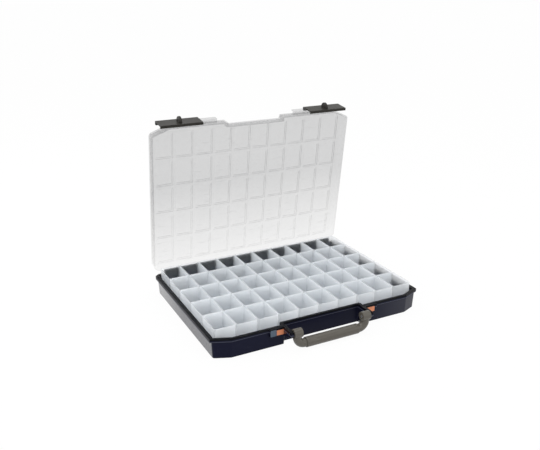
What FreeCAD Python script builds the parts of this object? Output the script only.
import FreeCAD, Part
import math
import os
import re

import Sketcher

# Compartment organizer box: a shallow tray with a clear hinged lid, two sliding latches, a swinging
# handle and fifty insert bins that lift out one by one.
# Frame: +X to the right, -Y to the front where the handle is, +Z up. The origin is on the tray's
# underside, below the middle of the insert grid. The lid stands open, as it is shown.

doc = FreeCAD.newDocument("compartment_organizer_box")

# Counts of the insert grid
COLUMNS = 10
ROWS = 5

# Driving dimensions, in millimetres and degrees
SIZES = {
    # insert bins
    "column_pitch": 39.2,
    "row_pitch": 54.9,
    "insert_gap": 0.5,
    "insert_height": 46.7,
    "insert_lean": 1.05,
    "insert_wall": 1.2,
    "insert_bottom": 1.2,
    "insert_corner": 4.0,
    "insert_seat_gap": 0.2,
    # tray
    "tray_side_room": 5.5,
    "tray_front_room": 15.25,
    "tray_rear_room": 2.75,
    "tray_height": 36.5,
    "tray_wall": 2.2,
    "tray_bottom": 2.2,
    "tray_lean": 2.8,
    "tray_corner_width": 28.0,
    "tray_corner_depth": 11.5,
    "tray_corner_round": 6.0,
    "tray_rear_cut": 8.0,
    "tray_foot_round": 1.6,
    "recess_half_width": 77.0,
    "recess_depth": 9.5,
    "recess_round": 2.0,
    "upstand_gap": 0.3,
    "upstand_height": 9.0,
    "raster_width": 1.2,
    "raster_height": 1.6,
    # rim flange of the tray
    "rim_height": 6.0,
    "rim_side_reach": 5.0,
    "rim_front_reach": 2.5,
    "rim_rear_reach": 1.6,
    "rim_corner_extra": 5.0,
    "rim_corner_drop": 2.0,
    "rim_recess_reach": 1.5,
    # lid
    "lid_gap": 0.3,
    "lid_side_inset": 1.0,
    "lid_front_inset": 5.5,
    "lid_rear_inset": 0.2,
    "lid_wall": 2.6,
    "lid_panel": 2.0,
    "lid_lean": 2.0,
    "lid_corner_width": 32.0,
    "lid_corner_depth": 12.5,
    "lid_corner_round": 8.0,
    "lid_edge_round": 2.5,
    "notch_half_width": 57.0,
    "notch_depth": 7.5,
    "notch_round": 2.5,
    "pad_clearance": 3.9,
    "pad_depth": 2.0,
    "pad_margin": 3.2,
    "pad_skin": 2.0,
    "lid_open_angle": 82.0,
    # hinge
    "hinge_offset": 4.1,
    "knuckle_radius": 3.5,
    "lid_knuckle_width": 18.0,
    "tray_knuckle_width": 10.0,
    "knuckle_side_gap": 0.4,
    "knuckle_root": 7.0,
    "hinge_pin_radius": 1.5,
    "hinge_pin_fit": 0.02,
    "hinge_pin_play": 0.08,
    # latch rails and sliders
    "rail_end_inset": 27.5,
    "rail_reach": 9.0,
    "rail_lift": 1.5,
    "rail_stem": 4.0,
    "rail_lip": 2.0,
    "rail_lip_height": 5.3,
    "latch_end_inset": 18.5,
    "latch_left_shift": 7.0,
    "latch_length": 80.0,
    "latch_wall": 2.0,
    "latch_play": 0.4,
    "latch_hook_play": 0.3,
    "latch_hook_depth": 3.0,
    "latch_foot_reach": 3.0,
    "latch_round": 0.6,
    "fin_radius": 9.5,
    "fin_thickness": 5.0,
    "fin_round": 1.2,
    # catches and markers
    "catch_length": 26.0,
    "catch_height": 14.0,
    "catch_drop": 0.3,
    "marker_length": 13.0,
    "marker_height": 9.5,
    "marker_thickness": 0.8,
    "marker_inset": 1.0,
    # handle
    "pivot_front": 179.0,
    "pivot_height": 31.5,
    "lug_inner": 75.1,
    "lug_thickness": 5.9,
    "lug_radius": 4.9,
    "lug_foot": 16.0,
    "handle_pin_radius": 2.5,
    "handle_pin_fit": 0.02,
    "handle_pin_play": 0.08,
    "eye_radius": 8.0,
    "eye_width": 15.4,
    "eye_side_gap": 0.6,
    "bar_radius": 7.4,
    "handle_drop": 21.1,
    "handle_bend": 13.0,
    "grip_half_length": 51.5,
    "grip_radius": 8.8,
    "grip_fit": 0.02,
    "grip_round": 0.9,
}

# Sizes that follow from the driving ones and their clearances
TIED_SIZES = {
    "tray_half_width": f"column_pitch * {COLUMNS} / 2 + tray_side_room",
    "tray_front": f"row_pitch * {ROWS} / 2 + tray_front_room",
    "tray_rear": f"row_pitch * {ROWS} / 2 + tray_rear_room",
    "lid_half_width": "tray_half_width + rim_side_reach - lid_side_inset",
    "lid_front": "tray_front + rim_front_reach - lid_front_inset",
    "lid_rear": "tray_rear + rim_rear_reach - lid_rear_inset",
    "insert_top": "tray_bottom + insert_seat_gap + insert_height",
    "lid_height": "insert_top + pad_clearance + pad_depth + lid_panel - tray_height - lid_gap",
    "rail_start": "lug_inner + lug_thickness - marker_inset",
    "rail_length": "lid_half_width - rail_end_inset - rail_start",
}

# Where the hinges stand, as shares of the lid's half width
hinge_shares = (0.27, 0.73)

# Tests for faces and edges: how upright an edge must be, and how near counts as equal
UPRIGHT_SHARE = 0.9
NEAR = 1e-4
quarter_turn = math.pi / 2

sheet = doc.addObject("Spreadsheet::Sheet", "Sizes")
cells = {**SIZES, **{alias: f"={text}" for alias, text in TIED_SIZES.items()}}
for line, (alias, value) in enumerate(cells.items(), start=1):
    sheet.set(f"A{line}", alias)
    sheet.set(f"B{line}", str(value))
    sheet.setAlias(f"B{line}", alias)
doc.recompute()


def bound(text):
    """The expression with each size's name turned into a reference to its cell."""
    return re.sub(r"[a-z_]+", lambda word: f"Sizes.{word[0]}" if word[0] in cells else word[0], text)


def number(text):
    """What an expression of sizes comes to."""
    return float(sheet.evalExpression(bound(text)))


def new_body(label):
    body = doc.addObject("PartDesign::Body", label)
    body.Label = label
    return body


def new_sketch(body, name, role, height="0"):
    """An empty sketch on one of the body's origin planes, moved along the plane's normal."""
    plane = next(item for item in body.Origin.OriginFeatures if item.Role == role)
    sketch = body.newObject("Sketcher::SketchObject", name)
    sketch.AttachmentSupport = [(plane, "")]
    sketch.MapMode = "FlatFace"
    sketch.setExpression("AttachmentOffset.Base.z", bound(height))
    return sketch


def hold_point(sketch, curve, end, place):
    """Ties one point of a curve to its two coordinates."""
    for kind, text in zip(("DistanceX", "DistanceY"), place):
        index = sketch.addConstraint(Sketcher.Constraint(kind, -1, 1, curve, end, number(text)))
        sketch.setExpression(f"Constraints[{index}]", bound(text))


def add_polygon(sketch, corners):
    """A closed polygon whose corners are pairs of expressions."""
    points = [FreeCAD.Vector(number(across), number(along), 0) for across, along in corners]
    first = sketch.GeometryCount
    count = len(points)
    for index in range(count):
        sketch.addGeometry(Part.LineSegment(points[index], points[(index + 1) % count]))
    for index in range(count):
        following = first + (index + 1) % count
        sketch.addConstraint(Sketcher.Constraint("Coincident", first + index, 2, following, 1))
    for index, corner in enumerate(corners):
        hold_point(sketch, first + index, 1, corner)


def add_circle(sketch, middle, radius):
    place = FreeCAD.Vector(number(middle[0]), number(middle[1]), 0)
    curve = sketch.addGeometry(Part.Circle(place, FreeCAD.Vector(0, 0, 1), number(radius)))
    hold_point(sketch, curve, 3, middle)
    index = sketch.addConstraint(Sketcher.Constraint("Radius", curve, number(radius)))
    sketch.setExpression(f"Constraints[{index}]", bound(radius))


def add_front_half_disc(sketch, middle, radius):
    """Half a disc on a side-view sketch, bulging to the front from its upright chord."""
    across, along = middle
    centre = FreeCAD.Vector(number(across), number(along), 0)
    half_chord = FreeCAD.Vector(0, number(radius), 0)
    circle = Part.Circle(centre, FreeCAD.Vector(0, 0, 1), number(radius))
    arc = sketch.addGeometry(Part.ArcOfCircle(circle, quarter_turn, 3 * quarter_turn))
    chord = sketch.addGeometry(Part.LineSegment(centre - half_chord, centre + half_chord))
    sketch.addConstraint(Sketcher.Constraint("Coincident", arc, 2, chord, 1))
    sketch.addConstraint(Sketcher.Constraint("Coincident", chord, 2, arc, 1))
    sketch.addConstraint(Sketcher.Constraint("Vertical", chord))
    sketch.addConstraint(Sketcher.Constraint("PointOnObject", arc, 3, chord))
    hold_point(sketch, arc, 3, middle)
    index = sketch.addConstraint(Sketcher.Constraint("Radius", arc, number(radius)))
    sketch.setExpression(f"Constraints[{index}]", bound(radius))


def rectangle(low_across, high_across, low_along, high_along):
    return [
        (low_across, low_along),
        (high_across, low_along),
        (high_across, high_along),
        (low_across, high_along),
    ]


def extrude(body, kind, sketch, length, backwards=False):
    """A Pad or Pocket of a sketch, its length bound to the sheet."""
    feature = body.newObject(f"PartDesign::{kind}", f"{sketch.Name}_{kind.lower()}")
    feature.Profile = sketch
    feature.Reversed = backwards
    feature.Refine = False
    feature.setExpression("Length", bound(length))
    before = body.Shape.Volume if kind == "Pocket" else None
    doc.recompute()
    if before is not None and not feature.Shape.Volume < before:
        raise ValueError(f"{feature.Name} cuts nothing")
    return feature


def round_edges(body, feature, wanted, radius):
    """A fillet of the edges that the test picks out."""
    names = [f"Edge{index}" for index, edge in enumerate(feature.Shape.Edges, start=1) if wanted(edge)]
    fillet = body.newObject("PartDesign::Fillet", f"{feature.Name}_round")
    fillet.Base = (feature, names)
    fillet.Refine = False
    fillet.setExpression("Radius", bound(radius))
    doc.recompute()
    return fillet


def lean_walls(body, feature, wanted, level, angle, backwards):
    """A draft of the walls that the test picks out, hinged where they meet a flat face at a level."""
    height = number(level)
    faces = list(enumerate(feature.Shape.Faces, start=1))
    names = [f"Face{index}" for index, face in faces if wanted(face)]
    seats = [f"Face{index}" for index, face in faces if flat_at(face, height)]
    draft = body.newObject("PartDesign::Draft", f"{feature.Name}_lean")
    draft.Base = (feature, names)
    draft.NeutralPlane = (feature, seats[:1])
    draft.Reversed = backwards
    draft.Refine = False
    draft.setExpression("Angle", bound(angle))
    doc.recompute()
    return draft


def flat_at(face, height):
    return abs(face.BoundBox.ZMin - height) < NEAR and abs(face.BoundBox.ZMax - height) < NEAR


def wall(face):
    """True for a flat face that stands upright."""
    return face.Surface.TypeId == "Part::GeomPlane" and abs(face.Surface.Axis.z) < NEAR


def upright(edge):
    """True for a straight edge that runs mostly up and down."""
    return edge.Curve.TypeId == "Part::GeomLine" and abs(edge.Curve.Direction.z) > UPRIGHT_SHARE


def upright_beyond(limit):
    """A test for upright edges further from the middle of the front than a limit."""
    reach = number(limit)
    return lambda edge: upright(edge) and abs(edge.CenterOfMass.x) > reach


def upright_within(limit):
    """A test for upright edges nearer to the middle of the front than a limit."""
    reach = number(limit)
    return lambda edge: upright(edge) and abs(edge.CenterOfMass.x) < reach


def at_level(level):
    """A test for edges that lie in one level plane."""
    height = number(level)

    def lies(edge):
        box = edge.BoundBox
        return abs(box.ZMin - height) < NEAR and abs(box.ZMax - height) < NEAR

    return lies


def case_outline(half_width, front, rear, corner_width, corner_depth, rear_cut, gap_half_width, gap_depth):
    """The plan of tray, rim and lid: cut corners, and a gap in the middle of the front."""
    shoulder = f"({front}) - ({corner_depth})"
    nose = f"({half_width}) - ({corner_width})"
    tail = f"({half_width}) - ({rear_cut})"
    flank = f"({rear}) - ({rear_cut})"
    right = [
        (tail, rear),
        (half_width, flank),
        (half_width, f"-({shoulder})"),
        (nose, f"-({front})"),
        (gap_half_width, f"-({front})"),
        (gap_half_width, f"-(({front}) - ({gap_depth}))"),
    ]
    left = [(f"-({across})", along) for across, along in reversed(right)]
    return right + left


# Named places that several pieces share
insert_base = "tray_bottom + insert_seat_gap"
lid_low = "tray_height + lid_gap"
lid_top = f"{lid_low} + lid_height"
lid_inside = f"{lid_top} - lid_panel"
pad_face = "insert_top + pad_clearance"
grid_half_width = f"column_pitch * {COLUMNS} / 2"
grid_half_depth = f"row_pitch * {ROWS} / 2"
hinge_rear = "lid_rear + hinge_offset"
hinge_height = "tray_height"
rail_front = "lid_front + rail_reach"
rail_low = f"{lid_low} + rail_lift"
rail_top = f"{rail_low} + rail_stem + rail_lip_height"
latch_inside = f"{rail_front} + latch_play"
latch_front = f"{latch_inside} + latch_wall"
latch_top = f"{rail_top} + latch_play + latch_wall"
catch_top = "tray_height - catch_drop"
catch_low = f"{catch_top} - catch_height"
latch_low = f"{catch_low} - latch_hook_play - latch_wall"
bar_height = "pivot_height - handle_drop"
eye_outer = "lug_inner - eye_side_gap"
eye_inner = f"{eye_outer} - eye_width"
arm_middle = f"{eye_outer} - eye_width / 2"
hinge_places = [f"{side} * lid_half_width * {share}" for side in (-1, 1) for share in hinge_shares]
hinge_places.sort(key=number)

# Tray: a leaning solid with a rim flange, hollowed from above
tray = new_body("base_shell")
tray_plan = new_sketch(tray, "tray_plan", "XY_Plane")
add_polygon(
    tray_plan,
    case_outline(
        "tray_half_width",
        "tray_front",
        "tray_rear",
        "tray_corner_width",
        "tray_corner_depth",
        "tray_rear_cut",
        "recess_half_width",
        "recess_depth",
    ),
)
block = extrude(tray, "Pad", tray_plan, "tray_height")
block = lean_walls(tray, block, wall, "0", "tray_lean", backwards=True)
corner_limit = "recess_half_width + tray_corner_round"
block = round_edges(tray, block, upright_beyond(corner_limit), "tray_corner_round")
block = round_edges(tray, block, upright_within(corner_limit), "recess_round")
block = round_edges(tray, block, at_level("0"), "tray_foot_round")

rim_plan = new_sketch(tray, "rim_plan", "XY_Plane", "tray_height - rim_height")
add_polygon(
    rim_plan,
    case_outline(
        "tray_half_width + rim_side_reach",
        "tray_front + rim_front_reach",
        "tray_rear + rim_rear_reach",
        "tray_corner_width + rim_corner_extra",
        "tray_corner_depth + rim_corner_drop",
        "tray_rear_cut",
        "recess_half_width - rim_recess_reach",
        "recess_depth",
    ),
)
extrude(tray, "Pad", rim_plan, "rim_height")

cavity_plan = new_sketch(tray, "cavity_plan", "XY_Plane", "tray_height")
add_polygon(
    cavity_plan,
    case_outline(
        "tray_half_width - tray_wall",
        "tray_front - tray_wall",
        "tray_rear - tray_wall",
        "tray_corner_width",
        "tray_corner_depth",
        "tray_rear_cut - tray_wall",
        "recess_half_width + tray_wall",
        "recess_depth",
    ),
)
extrude(tray, "Pocket", cavity_plan, "tray_height - tray_bottom")

# Catch blocks beside the recess, each with a shallow seat for its marker
catch_plan = new_sketch(tray, "catch_plan", "XY_Plane", catch_low)
for side in (-1, 1):
    ends = sorted((f"{side} * rail_start", f"{side} * (rail_start + catch_length)"), key=number)
    add_polygon(catch_plan, rectangle(ends[0], ends[1], f"-({rail_front})", "-tray_front"))
extrude(tray, "Pad", catch_plan, "catch_height")
marker_low = f"{catch_low} + marker_inset"
marker_plan = new_sketch(tray, "marker_plan", "XY_Plane", marker_low)
marker_seats = {}
for side in (-1, 1):
    near = f"{side} * (rail_start + marker_inset)"
    far = f"{side} * (rail_start + marker_inset + marker_length)"
    marker_seats[side] = sorted((near, far), key=number)
    front = f"-({rail_front})"
    add_polygon(marker_plan, rectangle(*marker_seats[side], front, f"{front} + marker_thickness"))
extrude(tray, "Pocket", marker_plan, "marker_height", backwards=True)

# Handle lugs: a cheek at each end of the recess, rounded about the pivot
lug_root = "-(tray_front - recess_depth)"
lug_starts = {-1: "-lug_inner - lug_thickness", 1: "lug_inner"}
pivot = ("-pivot_front", "pivot_height")
for side, start in lug_starts.items():
    word = "left" if side < 0 else "right"
    cheek = new_sketch(tray, f"lug_{word}", "YZ_Plane", start)
    add_polygon(
        cheek,
        [
            (lug_root, "lug_foot"),
            (lug_root, "pivot_height + lug_radius"),
            ("-pivot_front", "pivot_height + lug_radius"),
            ("-pivot_front", "pivot_height - lug_radius"),
        ],
    )
    extrude(tray, "Pad", cheek, "lug_thickness")
    nose = new_sketch(tray, f"lug_nose_{word}", "YZ_Plane", start)
    add_circle(nose, pivot, "lug_radius")
    extrude(tray, "Pad", nose, "lug_thickness")
    bore = new_sketch(tray, f"lug_bore_{word}", "YZ_Plane", start)
    add_circle(bore, pivot, "handle_pin_radius + handle_pin_fit")
    extrude(tray, "Pocket", bore, "lug_thickness", backwards=True)

# Hinge knuckles of the tray, one each side of every lid knuckle: one barrel, cut where the lid's sit
axis = (hinge_rear, hinge_height)
knuckle_front = f"{hinge_rear} - knuckle_radius"
knuckle_rear = f"{hinge_rear} + knuckle_radius"
lid_slot_half = "lid_knuckle_width / 2 + knuckle_side_gap"
hinge_pin_half = f"{lid_slot_half} + tray_knuckle_width"
arms = new_sketch(tray, "tray_knuckle_arms", "XY_Plane", "tray_height - knuckle_root")
for place in hinge_places:
    for low, high in (
        (f"{place} - ({hinge_pin_half})", f"{place} - ({lid_slot_half})"),
        (f"{place} + {lid_slot_half}", f"{place} + {hinge_pin_half}"),
    ):
        add_polygon(arms, rectangle(low, high, "tray_rear", hinge_rear))
extrude(tray, "Pad", arms, "knuckle_root")
barrel = new_sketch(tray, "tray_barrel", "YZ_Plane", f"{hinge_places[0]} - ({hinge_pin_half})")
add_circle(barrel, axis, "knuckle_radius")
tray_barrel_length = f"{hinge_places[-1]} - ({hinge_places[0]}) + 2 * ({hinge_pin_half})"
extrude(tray, "Pad", barrel, tray_barrel_length)
slots = new_sketch(tray, "tray_barrel_slots", "XY_Plane", f"{hinge_height} + knuckle_radius")
for place in hinge_places:
    add_polygon(
        slots,
        rectangle(f"{place} - ({lid_slot_half})", f"{place} + {lid_slot_half}", knuckle_front, knuckle_rear),
    )
for place, following in zip(hinge_places, hinge_places[1:]):
    low = f"{place} + {hinge_pin_half}"
    high = f"{following} - ({hinge_pin_half})"
    add_polygon(slots, rectangle(low, high, knuckle_front, knuckle_rear))
extrude(tray, "Pocket", slots, "2 * knuckle_radius")
bore = new_sketch(tray, "tray_barrel_bore", "YZ_Plane", f"{hinge_places[0]} - ({hinge_pin_half})")
add_circle(bore, axis, "hinge_pin_radius + hinge_pin_fit")
extrude(tray, "Pocket", bore, tray_barrel_length, backwards=True)

# Upstand along the rear wall, between the last row of bins and the lid's rear skirt
upstand_front = f"{grid_half_depth} - insert_gap / 2 + upstand_gap"
upstand_rear = "lid_rear - lid_wall - upstand_gap"
upstand_end = f"{grid_half_width} - tray_rear_cut"
upstand = new_sketch(tray, "upstand", "XY_Plane", "tray_height - rim_height")
add_polygon(upstand, rectangle(f"-({upstand_end})", upstand_end, upstand_front, upstand_rear))
extrude(tray, "Pad", upstand, "rim_height + upstand_height")

# Floor raster between the insert bins
raster_start = "tray_bottom - raster_height"
raster_along = new_sketch(tray, "raster_along", "XY_Plane", raster_start)
for step in range(1, COLUMNS):
    middle = f"column_pitch * {step - COLUMNS / 2}"
    low = f"{middle} - raster_width / 2"
    high = f"{middle} + raster_width / 2"
    add_polygon(raster_along, rectangle(low, high, f"-({grid_half_depth})", grid_half_depth))
extrude(tray, "Pad", raster_along, "2 * raster_height")
raster_across = new_sketch(tray, "raster_across", "XY_Plane", raster_start)
for step in range(1, ROWS):
    middle = f"row_pitch * {step - ROWS / 2}"
    low = f"{middle} - raster_width / 2"
    high = f"{middle} + raster_width / 2"
    add_polygon(raster_across, rectangle(f"-({grid_half_width})", grid_half_width, low, high))
extrude(tray, "Pad", raster_across, "2 * raster_height")

# Lid, drawn closed and swung open about the hinge at the end
lid = new_body("lid")
lid_plan = new_sketch(lid, "lid_plan", "XY_Plane", lid_low)
add_polygon(
    lid_plan,
    case_outline(
        "lid_half_width",
        "lid_front",
        "lid_rear",
        "lid_corner_width",
        "lid_corner_depth",
        "tray_rear_cut",
        "notch_half_width",
        "notch_depth",
    ),
)
cover = extrude(lid, "Pad", lid_plan, "lid_height")
cover = lean_walls(lid, cover, wall, lid_low, "lid_lean", backwards=False)
notch_limit = "notch_half_width + lid_corner_round"
cover = round_edges(lid, cover, upright_beyond(notch_limit), "lid_corner_round")
cover = round_edges(lid, cover, upright_within(notch_limit), "notch_round")
cover = round_edges(lid, cover, at_level(lid_top), "lid_edge_round")
hollow_plan = new_sketch(lid, "hollow_plan", "XY_Plane", lid_low)
add_polygon(
    hollow_plan,
    case_outline(
        "lid_half_width - lid_wall",
        "lid_front - lid_wall",
        "lid_rear - lid_wall",
        "lid_corner_width",
        "lid_corner_depth",
        "tray_rear_cut",
        "notch_half_width + lid_wall",
        "notch_depth",
    ),
)
extrude(lid, "Pocket", hollow_plan, "lid_height - lid_panel", backwards=True)

# Rails on the lid's front skirt, which the latches hook over
rail_starts = {-1: "-rail_start - rail_length", 1: "rail_start"}
rail_root = "-(lid_front - lid_wall / 2)"
for side, start in rail_starts.items():
    word = "left" if side < 0 else "right"
    rail = new_sketch(lid, f"rail_{word}", "YZ_Plane", start)
    add_polygon(
        rail,
        [
            (rail_root, rail_low),
            (f"-({rail_front})", rail_low),
            (f"-({rail_front})", rail_top),
            (f"-({rail_front}) + rail_lip", rail_top),
            (f"-({rail_front}) + rail_lip", f"{rail_low} + rail_stem"),
            (rail_root, f"{rail_low} + rail_stem"),
        ],
    )
    extrude(lid, "Pad", rail, "rail_length")

# Hinge knuckles of the lid, cut from one barrel too
lid_knuckle_half = "lid_knuckle_width / 2"
arms = new_sketch(lid, "lid_knuckle_arms", "XY_Plane", lid_low)
for place in hinge_places:
    low = f"{place} - {lid_knuckle_half}"
    high = f"{place} + {lid_knuckle_half}"
    add_polygon(arms, rectangle(low, high, "lid_rear - lid_wall / 2", hinge_rear))
extrude(lid, "Pad", arms, "knuckle_radius - lid_gap")
barrel = new_sketch(lid, "lid_barrel", "YZ_Plane", f"{hinge_places[0]} - {lid_knuckle_half}")
add_circle(barrel, axis, "knuckle_radius")
lid_barrel_length = f"{hinge_places[-1]} - ({hinge_places[0]}) + lid_knuckle_width"
extrude(lid, "Pad", barrel, lid_barrel_length)
slots = new_sketch(lid, "lid_barrel_slots", "XY_Plane", f"{hinge_height} + knuckle_radius")
for place, following in zip(hinge_places, hinge_places[1:]):
    low = f"{place} + {lid_knuckle_half}"
    high = f"{following} - {lid_knuckle_half}"
    add_polygon(slots, rectangle(low, high, knuckle_front, knuckle_rear))
extrude(lid, "Pocket", slots, "2 * knuckle_radius")
bore = new_sketch(lid, "lid_barrel_bore", "YZ_Plane", f"{hinge_places[0]} - {lid_knuckle_half}")
add_circle(bore, axis, "hinge_pin_radius + hinge_pin_play")
extrude(lid, "Pocket", bore, lid_barrel_length, backwards=True)

# One hollow pad over every compartment
first_column = f"-({grid_half_width})"
first_row = f"-({grid_half_depth})"
pad_plan = new_sketch(lid, "pad_plan", "XY_Plane", pad_face)
add_polygon(
    pad_plan,
    rectangle(
        f"{first_column} + pad_margin",
        f"{first_column} + column_pitch - pad_margin",
        f"{first_row} + pad_margin",
        f"{first_row} + row_pitch - pad_margin",
    ),
)
pad = extrude(lid, "Pad", pad_plan, "pad_depth")
dent_plan = new_sketch(lid, "dent_plan", "XY_Plane", lid_top)
rim_of_dent = "pad_margin + pad_skin"
add_polygon(
    dent_plan,
    rectangle(
        f"{first_column} + {rim_of_dent}",
        f"{first_column} + column_pitch - ({rim_of_dent})",
        f"{first_row} + {rim_of_dent}",
        f"{first_row} + row_pitch - ({rim_of_dent})",
    ),
)
dent = extrude(lid, "Pocket", dent_plan, f"{lid_top} - ({pad_face}) - pad_skin")
pads = lid.newObject("PartDesign::LinearPattern", "pads")
pads.Originals = [pad, dent]
pads.Direction = (pad_plan, ["H_Axis"])
pads.Direction2 = (pad_plan, ["V_Axis"])
pads.setExpression("Length", bound(f"column_pitch * {COLUMNS - 1}"))
pads.setExpression("Length2", bound(f"row_pitch * {ROWS - 1}"))
pads.Occurrences = COLUMNS
pads.Occurrences2 = ROWS
pads.Refine = False
lid.Tip = pads
doc.recompute()

# Hinge pins, as long as three knuckles and their gaps
pins = []
for index, place in enumerate(hinge_places, start=1):
    pin = doc.addObject("Part::Cylinder", f"hinge_pin_{index}")
    pin.setExpression("Radius", bound("hinge_pin_radius"))
    pin.setExpression("Height", bound(f"2 * ({hinge_pin_half})"))
    pin.Placement.Rotation = FreeCAD.Rotation(FreeCAD.Vector(0, 1, 0), 90)
    pin.setExpression("Placement.Base.x", bound(f"{place} - ({hinge_pin_half})"))
    pin.setExpression("Placement.Base.y", bound(hinge_rear))
    pin.setExpression("Placement.Base.z", bound(hinge_height))
    pins.append(pin)
hinge_pins = doc.addObject("Part::Compound", "hinge_pins")
hinge_pins.Links = pins

# Latches: C-shaped sliders with a round finger fin, drawn on the closed lid
def latch_front_edge(edge):
    """True for a long edge of a latch's front face."""
    box = edge.BoundBox
    return box.XLength > number("fin_thickness") and box.YMax < -number(f"{latch_inside} + latch_wall / 2")


def fin_edge(edge):
    """True for a round edge of a latch's fin that shows in front."""
    return edge.Curve.TypeId == "Part::GeomCircle" and abs(edge.Curve.Radius - number("fin_radius")) < NEAR


latch_outer = "lid_half_width - latch_end_inset"
latch_starts = {-1: f"-({latch_outer} + latch_left_shift)", 1: f"{latch_outer} - latch_length"}
latches = []
for side, start in latch_starts.items():
    word = "left" if side < 0 else "right"
    latch = new_body(f"latch_{word}")
    section = new_sketch(latch, f"latch_section_{word}", "YZ_Plane", start)
    hook_front = f"-({rail_front}) + rail_lip + latch_hook_play"
    hook_rear = f"{hook_front} + latch_wall"
    foot_rear = f"-({latch_inside}) + latch_foot_reach"
    lip_low = f"{latch_top} - latch_wall"
    add_polygon(
        section,
        [
            (f"-({latch_front})", latch_low),
            (foot_rear, latch_low),
            (foot_rear, f"{latch_low} + latch_wall"),
            (f"-({latch_inside})", f"{latch_low} + latch_wall"),
            (f"-({latch_inside})", lip_low),
            (hook_front, lip_low),
            (hook_front, f"{lip_low} - latch_hook_depth"),
            (hook_rear, f"{lip_low} - latch_hook_depth"),
            (hook_rear, latch_top),
            (f"-({latch_front})", latch_top),
        ],
    )
    channel = extrude(latch, "Pad", section, "latch_length")
    round_edges(latch, channel, latch_front_edge, "latch_round")
    fin_low = f"{start} + (latch_length - fin_thickness) / 2"
    fin_section = new_sketch(latch, f"fin_section_{word}", "YZ_Plane", fin_low)
    fin_height = f"({latch_low} + ({latch_top})) / 2"
    add_front_half_disc(fin_section, (f"-({latch_front})", fin_height), "fin_radius")
    fin = extrude(latch, "Pad", fin_section, "fin_thickness")
    round_edges(latch, fin, fin_edge, "fin_round")
    latches.append(latch)

# Markers, seated in the catch blocks
markers = []
for side, seat in marker_seats.items():
    word = "left" if side < 0 else "right"
    marker = doc.addObject("Part::Box", f"marker_{word}")
    marker.setExpression("Length", bound("marker_length"))
    marker.setExpression("Width", bound("marker_thickness"))
    marker.setExpression("Height", bound("marker_height"))
    marker.setExpression("Placement.Base.x", bound(seat[0]))
    marker.setExpression("Placement.Base.y", bound(f"-({rail_front})"))
    marker.setExpression("Placement.Base.z", bound(marker_low))
    markers.append(marker)

# Handle: a bail swept along its middle line, with an eye at each end, hanging from the lugs
frame = new_body("handle_frame")
bend_end = f"{arm_middle} - handle_bend"
arm_low = f"{bar_height} + handle_bend"
bail_stops = [
    (f"-({arm_middle})", "pivot_height"),
    (f"-({arm_middle})", arm_low),
    (f"-({bend_end})", bar_height),
    (bend_end, bar_height),
    (arm_middle, arm_low),
    (arm_middle, "pivot_height"),
]
bends = {1: (f"-({bend_end})", 2 * quarter_turn), 3: (bend_end, 3 * quarter_turn)}
bail_line = new_sketch(frame, "bail_line", "XZ_Plane", "pivot_front")
for index, (start, end) in enumerate(zip(bail_stops, bail_stops[1:])):
    if index in bends:
        across, angle = bends[index]
        middle = FreeCAD.Vector(number(across), number(arm_low), 0)
        circle = Part.Circle(middle, FreeCAD.Vector(0, 0, 1), number("handle_bend"))
        bail_line.addGeometry(Part.ArcOfCircle(circle, angle, angle + quarter_turn))
    else:
        ends = [FreeCAD.Vector(number(across), number(along), 0) for across, along in (start, end)]
        bail_line.addGeometry(Part.LineSegment(*ends))
        hold_point(bail_line, index, 1, start)
        hold_point(bail_line, index, 2, end)
for index in bends:
    bail_line.addConstraint(Sketcher.Constraint("Coincident", index - 1, 2, index, 1))
    bail_line.addConstraint(Sketcher.Constraint("Coincident", index, 2, index + 1, 1))
    radius = bail_line.addConstraint(Sketcher.Constraint("Radius", index, number("handle_bend")))
    bail_line.setExpression(f"Constraints[{radius}]", bound("handle_bend"))
# the section looks down the arm, so its sketch is turned over and its X runs the other way
bail_section = new_sketch(frame, "bail_section", "XY_Plane", "-pivot_height")
bail_section.MapReversed = True
add_circle(bail_section, (arm_middle, "-pivot_front"), "bar_radius")
bail = frame.newObject("PartDesign::AdditivePipe", "bail")
bail.Profile = bail_section
bail.Spine = (bail_line, [f"Edge{index}" for index in range(1, len(bail_stops))])
bail.Refine = False
doc.recompute()
eye_starts = {-1: f"-({eye_outer})", 1: eye_inner}
for side, start in eye_starts.items():
    word = "left" if side < 0 else "right"
    eye = new_sketch(frame, f"eye_{word}", "YZ_Plane", start)
    add_circle(eye, pivot, "eye_radius")
    extrude(frame, "Pad", eye, "eye_width")
    bore = new_sketch(frame, f"eye_bore_{word}", "YZ_Plane", start)
    add_circle(bore, pivot, "handle_pin_radius + handle_pin_play")
    extrude(frame, "Pocket", bore, "eye_width", backwards=True)

# Grip: a sleeve on the handle's bar
grip = new_body("handle_grip")
sleeve = new_sketch(grip, "sleeve", "YZ_Plane", "-grip_half_length")
add_circle(sleeve, ("-pivot_front", bar_height), "grip_radius")
add_circle(sleeve, ("-pivot_front", bar_height), "bar_radius + grip_fit")
sleeve = extrude(grip, "Pad", sleeve, "2 * grip_half_length")


def grip_end(edge):
    """True for the outer round edge at an end of the grip."""
    limit = number("bar_radius + grip_fit") + NEAR
    return edge.Curve.TypeId == "Part::GeomCircle" and edge.Curve.Radius > limit


round_edges(grip, sleeve, grip_end, "grip_round")

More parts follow.
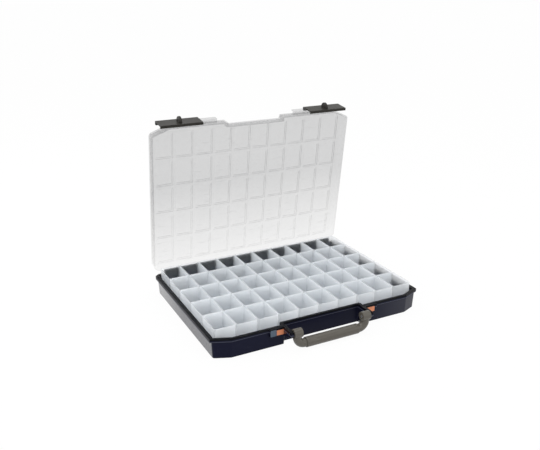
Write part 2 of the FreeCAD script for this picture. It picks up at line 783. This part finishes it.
# Handle pins, through each lug and its eye
pivot_pins = []
for side in (-1, 1):
    word = "left" if side < 0 else "right"
    pin = doc.addObject("Part::Cylinder", f"handle_pin_{word}")
    pin.setExpression("Radius", bound("handle_pin_radius"))
    pin.setExpression("Height", bound(f"lug_inner + lug_thickness - ({eye_inner})"))
    pin.Placement.Rotation = FreeCAD.Rotation(FreeCAD.Vector(0, 1, 0), 90)
    start = eye_inner if side > 0 else "-lug_inner - lug_thickness"
    pin.setExpression("Placement.Base.x", bound(start))
    pin.setExpression("Placement.Base.y", bound("-pivot_front"))
    pin.setExpression("Placement.Base.z", bound("pivot_height"))
    pivot_pins.append(pin)
handle_pins = doc.addObject("Part::Compound", "handle_pins")
handle_pins.Links = pivot_pins

# Insert bin: drawn once at the middle of the grid, then linked to its fifty places
insert = new_body("insert_pattern")
bin_half_width = "(column_pitch - insert_gap) / 2"
bin_half_depth = "(row_pitch - insert_gap) / 2"
bin_plan = new_sketch(insert, "bin_plan", "XY_Plane", "insert_top")
add_polygon(
    bin_plan,
    rectangle(f"-{bin_half_width}", bin_half_width, f"-{bin_half_depth}", bin_half_depth),
)
bin_block = extrude(insert, "Pad", bin_plan, "insert_height", backwards=True)
lean_walls(insert, bin_block, wall, "insert_top", "insert_lean", backwards=True)
bin_hollow = new_sketch(insert, "bin_hollow", "XY_Plane", "insert_top")
inner_half_width = f"{bin_half_width} - insert_wall"
inner_half_depth = f"{bin_half_depth} - insert_wall"
add_polygon(
    bin_hollow,
    rectangle(f"-({inner_half_width})", inner_half_width, f"-({inner_half_depth})", inner_half_depth),
)
hollow = extrude(insert, "Pocket", bin_hollow, "insert_height - insert_bottom")
hollow = lean_walls(insert, hollow, wall, "insert_top", "insert_lean", backwards=False)


def outer_corner(edge):
    """True for an upright edge on the outside of the bin."""
    reach = max(abs(vertex.X) for vertex in edge.Vertexes)
    return upright(edge) and reach > number(f"{bin_half_width} - insert_wall / 2")


def inner_corner(edge):
    """True for an upright edge of the bin's hollow."""
    return upright(edge) and not outer_corner(edge)


hollow = round_edges(insert, hollow, inner_corner, "insert_corner - insert_wall")
round_edges(insert, hollow, outer_corner, "insert_corner")

inserts = []
for row in range(ROWS):
    for column in range(COLUMNS):
        label = f"insert_r{row + 1}c{column + 1:02d}"
        link = doc.addObject("App::Link", label)
        link.LinkedObject = insert
        link.Label = label
        link.setExpression("Placement.Base.x", bound(f"column_pitch * {column - (COLUMNS - 1) / 2}"))
        link.setExpression("Placement.Base.y", bound(f"row_pitch * {row - (ROWS - 1) / 2}"))
        inserts.append(link)

# The lid and what rides on it are swung open about the hinge
swing = FreeCAD.Rotation(FreeCAD.Vector(-1, 0, 0), number("lid_open_angle"))
hinge_point = FreeCAD.Vector(0, number(hinge_rear), number(hinge_height))
for piece in [lid] + latches:
    piece.Placement = FreeCAD.Placement(FreeCAD.Vector(0, 0, 0), swing, hinge_point)
doc.recompute()

pieces = [tray, lid, hinge_pins] + latches + markers + [frame, grip, handle_pins] + inserts
for item in doc.Objects:
    if "Invalid" in item.State or "Error" in item.State:
        raise ValueError(f"{item.Label} did not build: {item.State}")
for piece in pieces:
    if piece.Shape.isNull() or not piece.Shape.isValid():
        raise ValueError(f"{piece.Label} has no valid shape")

os.makedirs("parts", exist_ok=True)
for piece in pieces:
    piece.Shape.exportStep(f"parts/{piece.Label}.step")
print(f"{len(pieces)} pieces written")
